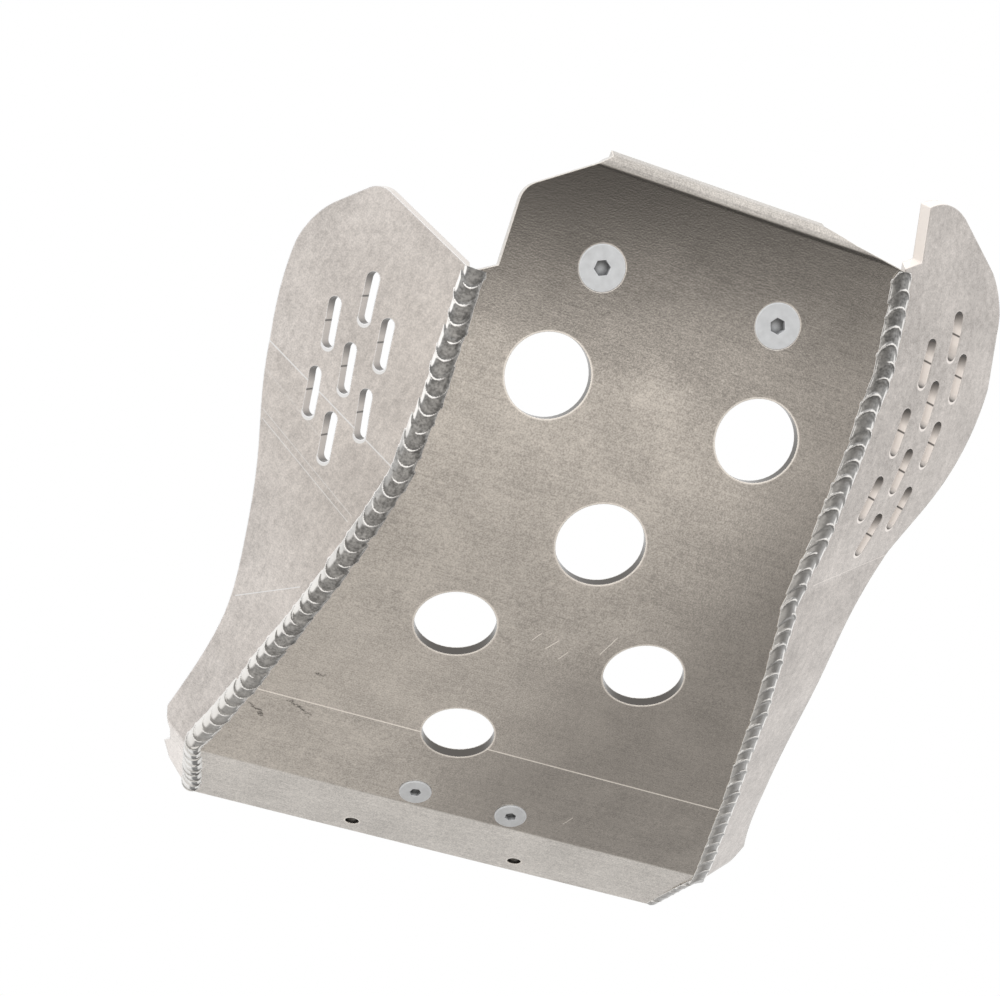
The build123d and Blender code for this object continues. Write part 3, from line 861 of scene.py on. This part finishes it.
class SKIDPLATE_OT_weld_beads(bpy.types.Operator):
    """Model one weld ripple, lay copies of it along each seam and fuse them into two beads"""

    bl_idname = "skidplate.weld_beads"
    bl_label = "Weld beads"

    def execute(self, context):
        sizes = context.scene.skidplate_sizes
        metal = weld_metal(context.scene.skidplate_finish.weld_colour)
        ripple = model_ripple(sizes)
        for name, side, ahead, start, seed, course in BEADS:
            hand = random.Random(seed)
            copies = []
            for station, size in bead_runs(start, sizes):
                copy = bpy.data.objects.new("ripple", ripple.data.copy())
                context.collection.objects.link(copy)
                copy.matrix_world = ripple_place(station, size, side, ahead, course, hand, sizes)
                copies.append(copy)
            bead = join_pieces(copies)
            bead.data.remesh_voxel_size = sizes.voxel
            bead.data.use_remesh_preserve_attributes = True
            bpy.ops.object.voxel_remesh()
            bpy.ops.object.shade_smooth()
            apply_modifier(bead, "SMOOTH", factor=0.5, iterations=1)
            trim_bead(side, start)
            finish_piece(bead, name + "_ripples", metal, [name])
        bpy.data.objects.remove(ripple)
        return {"FINISHED"}


# Screws in millimetres: head, thread, length, key, socket depth and pitch
FRONT_SCREW = (16, 8, 25, 5, 3, 1.25)
REAR_SCREW = (12.4, 6, 20, 4, 2.3, 1)

# Places of the screws in millimetres, turns of their sockets, and how proud the rear heads stand
FRONT_PLACES = ((-31.8, 0, 0.4), (31.8, 0, 0.9))
REAR_PLACES = ((-19.4, 226.3, 0.2), (19.4, 226.3, 0.6))
REAR_PROUD = 0.9 * MM

# Screw head: broken edge as a share of it, straight rim, and fillet under it
HEAD_BREAK = 0.02
HEAD_RIM = 0.3 * MM
UNDERHEAD = 0.3 * MM

# Thread as shares of the pitch: depth to the core, run-out, neck, tip and length without thread
CORE_DEPTH = 0.55
RUNOUT = 1.2
NECK = 0.4
TIP = 0.8
PLAIN_LENGTH = 2.6

# Thread's ridge as shares of the pitch: radius, lift of its middle over the core, and start above the tip
RIDGE_RADIUS = 0.5
RIDGE_LIFT = 0.1
RIDGE_START = 1.3

# Screw's tip as a share of its core, points around the head, and steps in a turn of thread
TIP_SHARE = 0.72
HEAD_POINTS = 64
THREAD_STEPS = 24


def screw_profile(head, thread, length, pitch):
    """Steps of a screw's outline from its face down: drop and next radius."""
    core = thread / 2 - pitch * CORE_DEPTH
    cone_end = (head - thread) / 2
    break_edge = HEAD_BREAK * head
    return (
        (break_edge, head / 2),
        (HEAD_RIM, head / 2),
        (cone_end - break_edge - HEAD_RIM, thread / 2 + UNDERHEAD),
        (pitch * RUNOUT, thread / 2),
        (pitch * NECK, core),
        (length - cone_end - pitch * (RUNOUT + NECK + TIP), core),
        (pitch * TIP, core * TIP_SHARE),
    )


def model_shank(head, thread, length, key, key_depth, pitch):
    """One countersunk screw without its thread, its head's face at z 0 and its shank down."""
    bpy.ops.object.select_all(action="DESELECT")
    radius = head / 2 - HEAD_BREAK * head
    bpy.ops.mesh.primitive_circle_add(vertices=HEAD_POINTS, radius=radius, fill_type="NGON")
    screw = bpy.context.active_object
    edit_all()
    for drop, next_radius in screw_profile(head, thread, length, pitch):
        bpy.ops.mesh.extrude_region_move(TRANSFORM_OT_translate={"value": (0, 0, -drop)})
        bpy.ops.transform.resize(value=(next_radius / radius, next_radius / radius, 1))
        radius = next_radius
    end_edit()
    bpy.ops.mesh.primitive_cylinder_add(vertices=6, radius=key / sqrt(3), depth=2 * key_depth)
    socket = bpy.context.active_object
    bpy.context.view_layer.objects.active = screw
    apply_modifier(screw, "BOOLEAN", operation="DIFFERENCE", solver="EXACT", object=socket)
    bpy.data.objects.remove(socket)
    return screw


def model_thread(head, thread, length, pitch):
    """The thread of a screw: a ridge wound around the core, closed at both ends."""
    bpy.ops.object.select_all(action="DESELECT")
    core = thread / 2 - pitch * CORE_DEPTH
    cone_end = (head - thread) / 2
    turns = int((length - cone_end - pitch * PLAIN_LENGTH) / pitch)
    start = (core + pitch * RIDGE_LIFT, 0, -(length - pitch * RIDGE_START))
    bpy.ops.mesh.primitive_circle_add(
        vertices=3, radius=pitch * RIDGE_RADIUS, rotation=(pi / 2, 0, 0), location=start)
    ridge = bpy.context.active_object
    edit_all()
    bpy.ops.transform.rotate(value=-pi / 2, orient_axis="Y", center_override=start)
    bpy.ops.object.mode_set(mode="OBJECT")
    bpy.ops.object.transform_apply(location=True, rotation=True, scale=True)
    apply_modifier(
        ridge, "SCREW", axis="Z", angle=2 * pi, screw_offset=pitch, iterations=turns,
        steps=THREAD_STEPS, render_steps=THREAD_STEPS)
    edit_all()
    bpy.ops.mesh.remove_doubles(threshold=1e-6)
    bpy.ops.mesh.select_all(action="DESELECT")
    bpy.ops.mesh.select_non_manifold()
    bpy.ops.mesh.fill()
    end_edit()
    return ridge


def model_screw(sizes):
    """One countersunk screw with its hexagon socket and thread."""
    head, thread, length, key, key_depth, pitch = [size * MM for size in sizes]
    shank = model_shank(head, thread, length, key, key_depth, pitch)
    return join_pieces([shank, model_thread(head, thread, length, pitch)])


def place_screws(screw, places, outward, proud, name, node, metal):
    """Copies a screw to its two places, its head facing outwards, and joins the pair."""
    turn = outward.to_track_quat("Z", "X").to_matrix().to_4x4()
    copies = []
    for x, station, twist in places:
        copy = bpy.data.objects.new(name, screw.data.copy())
        bpy.context.collection.objects.link(copy)
        place = Matrix.Translation(on_main_plate(x, station) + outward * proud)
        copy.matrix_world = place @ turn @ Matrix.Rotation(twist, 4, "Z")
        copies.append(copy)
    bpy.data.objects.remove(screw)
    pair = join_pieces(copies)
    bpy.ops.object.shade_smooth_by_angle(angle=radians(35))
    finish_piece(pair, name, metal, [node])


class SKIDPLATE_OT_screws(bpy.types.Operator):
    """Model the larger front screws and the smaller rear screws with sockets and threads"""

    bl_idname = "skidplate.screws"
    bl_label = "Screws"

    def execute(self, context):
        metal = zinc_plate("zinc_plate", context.scene.skidplate_finish.zinc_colour)
        out_of_front = Vector((0, -sin(FRONT_SLOPE), -cos(FRONT_SLOPE)))
        front = model_screw(FRONT_SCREW)
        place_screws(front, FRONT_PLACES, out_of_front, 0, "front_screw_pair", "front_screws", metal)
        downward = Vector((0, 0, -1))
        rear = model_screw(REAR_SCREW)
        place_screws(rear, REAR_PLACES, downward, REAR_PROUD, "rear_screw_pair", "rear_screws", metal)
        return {"FINISHED"}


# Camera: pitch up, yaw to the right and roll, and width of its sensor in millimetres
CAMERA_PITCH = radians(49.75288)
CAMERA_YAW = radians(20.17323)
CAMERA_ROLL = radians(0.87806)
SENSOR_WIDTH = 36

# Floor and flag in metres, with the floor's fade and far colour, and the gap under the flag
FLOOR_SIZE = 60
FLOOR_FADE = (1.0, 1.9)
FAR_FLOOR = (0.93, 0.93, 0.93, 1)
FLAG_SIZE = 5
FLAG_GAP = 1 * MM

# Painted dark reflection on the flag, mirrored in the main plate's front: middle, turn, half axes, fade of
# its edge as shares of them, and light at its middle
POOL_MIDDLE = (0.15, -0.825, 0)
POOL_TURN = radians(-20)
POOL_AXES = (0.62, 0.26, 1)
POOL_FADE = (0.6, 1.25)
POOL_LIGHT = 0.06

# Painted grey reflection over the flag's left half: slant of its edge, fade of the edge along X, and depth
# along Y
HALF_SLANT = 0.06
HALF_FADE = (0.24, 0.33)
HALF_GROWS = (-0.4, -0.1, 0.36, 0.56)
HALF_WEAKENS = (0.0, 0.35, 0.56, 0.45)

# Brightness of the surround where it lights the part and where it is seen
LIT_STRENGTH = 0.8
SEEN_STRENGTH = 1.0

# Lamps: name, place, aim, size and power
LAMPS = (
    ("top_lamp", (-0.5, -0.6, 1.5), (0, 0, 0), 1.0, 14),
    ("front_lamp", (-0.3, -1.1, -0.3), (0, -0.1, 0.03), 0.6, 7),
)


class SKIDPLATE_OT_stage(bpy.types.Operator):
    """Set the camera at the viewing angle, the pale floor, the white surround and the lamps"""

    bl_idname = "skidplate.stage"
    bl_label = "Stage"

    def execute(self, context):
        scene = context.scene
        stage = scene.skidplate_stage
        scene.view_settings.view_transform = "Standard"
        self.place_camera(scene, stage)
        self.lay_floor(stage)
        self.lay_flag(stage)
        self.light(scene)
        return {"FINISHED"}

    def place_camera(self, scene, stage):
        """The camera, turned by its pitch, yaw and roll."""
        level = cos(CAMERA_PITCH)
        look = Vector((sin(CAMERA_YAW) * level, cos(CAMERA_YAW) * level, sin(CAMERA_PITCH)))
        right = Vector((cos(CAMERA_YAW), -sin(CAMERA_YAW), 0))
        up = right.cross(look)
        across = right * cos(CAMERA_ROLL) + up * sin(CAMERA_ROLL)
        upward = up * cos(CAMERA_ROLL) - right * sin(CAMERA_ROLL)
        lens = bpy.data.cameras.new("camera")
        lens.sensor_fit = "HORIZONTAL"
        lens.sensor_width = SENSOR_WIDTH
        lens.lens = stage.lens
        lens.clip_start = 0.01
        camera = bpy.data.objects.new("camera", lens)
        scene.collection.objects.link(camera)
        turn = Matrix((across, upward, -look)).transposed().to_4x4()
        camera.matrix_world = Matrix.Translation(Vector(stage.camera_place)) @ turn
        scene.camera = camera

    def lay_plane(self, name, size, height):
        """A level plane of the stage."""
        bpy.ops.object.select_all(action="DESELECT")
        bpy.ops.mesh.primitive_plane_add(size=size, location=(0, 0, height))
        plane = bpy.context.active_object
        plane.name = name
        return plane

    def lay_floor(self, stage):
        """The pale floor, fading to white away from the part."""
        floor = self.lay_plane("floor", FLOOR_SIZE, stage.floor_height)
        material, tree, shader, place = new_material("pale_floor")
        fade = spread(tree, vector_math(tree, "LENGTH", place), *FLOOR_FADE)
        colour = blend_colours(tree, fade, [*stage.floor_colour, 1], FAR_FLOOR)
        tree.links.new(colour, shader.inputs["Base Color"])
        shader.inputs["Roughness"].default_value = 0.8
        floor.data.materials.append(material)

    def lay_flag(self, stage):
        """A dark soft-edged card on the floor, unseen by the camera and casting no shadow, that only the
        metal mirrors: a painted dark reflection.
        """
        flag = self.lay_plane("flag", FLAG_SIZE, stage.floor_height + FLAG_GAP)
        material, tree, shader, place = new_material("mirrored_shade_card")
        apart = add_node(tree, "ShaderNodeSeparateXYZ", {"Vector": place})
        axes = {"Vector": place, "Location": POOL_MIDDLE, "Rotation": (0, 0, POOL_TURN), "Scale": POOL_AXES}
        pool = add_node(tree, "ShaderNodeMapping", axes, vector_type="TEXTURE").outputs["Vector"]
        front_shade = spread(tree, vector_math(tree, "LENGTH", pool), *POOL_FADE, POOL_LIGHT, 1.0)
        slanted = math(tree, "MULTIPLY_ADD", apart.outputs["Y"], HALF_SLANT, apart.outputs["X"])
        grows = spread(tree, apart.outputs["Y"], *HALF_GROWS)
        depth = math(tree, "MINIMUM", grows, spread(tree, apart.outputs["Y"], *HALF_WEAKENS))
        left_dark = math(tree, "MULTIPLY", spread(tree, slanted, *HALF_FADE), depth)
        near = opposite(tree, spread(tree, vector_math(tree, "LENGTH", place), *FLOOR_FADE))
        left_shade = opposite(tree, math(tree, "MULTIPLY", left_dark, near))
        cover = opposite(tree, math(tree, "MULTIPLY", front_shade, left_shade))
        tree.links.new(cover, shader.inputs["Alpha"])
        shader.inputs["Base Color"].default_value = (0, 0, 0, 1)
        shader.inputs["Roughness"].default_value = 1
        shader.inputs["Specular IOR Level"].default_value = 0
        flag.data.materials.append(material)
        flag.visible_camera = False
        flag.visible_diffuse = False
        flag.visible_shadow = False

    def light(self, scene):
        """The white surround and the lamps, which aren't mirrored in the metal."""
        world = bpy.data.worlds.new("surround")
        scene.world = world
        world.use_nodes = True
        tree = world.node_tree
        ground = tree.nodes["Background"]
        ground.inputs["Color"].default_value = (1, 1, 1, 1)
        path = add_node(tree, "ShaderNodeLightPath")
        seen = math(tree, "MAXIMUM", path.outputs["Is Camera Ray"], path.outputs["Is Glossy Ray"])
        seen = math(tree, "MAXIMUM", seen, path.outputs["Is Transmission Ray"])
        tree.links.new(spread(tree, seen, 0, 1, LIT_STRENGTH, SEEN_STRENGTH), ground.inputs["Strength"])
        for name, place, aim, size, power in LAMPS:
            lamp = bpy.data.lights.new(name, "AREA")
            lamp.size = size
            lamp.energy = power
            holder = bpy.data.objects.new(name, lamp)
            scene.collection.objects.link(holder)
            holder.location = place
            holder.visible_glossy = False
            holder.rotation_euler = (Vector(aim) - Vector(place)).to_track_quat("-Z", "Y").to_euler()


class SKIDPLATE_PT_panel(bpy.types.Panel):
    """Lists the steps that dress the skid plate"""

    bl_label = "Skid plate"
    bl_idname = "SKIDPLATE_PT_panel"
    bl_space_type = "VIEW_3D"
    bl_region_type = "UI"
    bl_category = "Skid plate"

    def draw(self, context):
        for step in STEPS:
            self.layout.operator(step.bl_idname)


STEPS = (SKIDPLATE_OT_sheet_finish, SKIDPLATE_OT_weld_beads, SKIDPLATE_OT_screws, SKIDPLATE_OT_stage)
CLASSES = (SkidPlateSizes, SkidPlateFinish, SkidPlateStage) + STEPS + (SKIDPLATE_PT_panel,)


def register():
    for item in CLASSES:
        bpy.utils.register_class(item)
    bpy.types.Scene.skidplate_sizes = PointerProperty(type=SkidPlateSizes)
    bpy.types.Scene.skidplate_finish = PointerProperty(type=SkidPlateFinish)
    bpy.types.Scene.skidplate_stage = PointerProperty(type=SkidPlateStage)


def unregister():
    del bpy.types.Scene.skidplate_stage
    del bpy.types.Scene.skidplate_finish
    del bpy.types.Scene.skidplate_sizes
    for item in reversed(CLASSES):
        bpy.utils.unregister_class(item)


def main():
    register()
    bpy.ops.skidplate.sheet_finish()
    bpy.ops.skidplate.weld_beads()
    bpy.ops.skidplate.screws()
    bpy.ops.skidplate.stage()


if __name__ == "__main__":
    main()
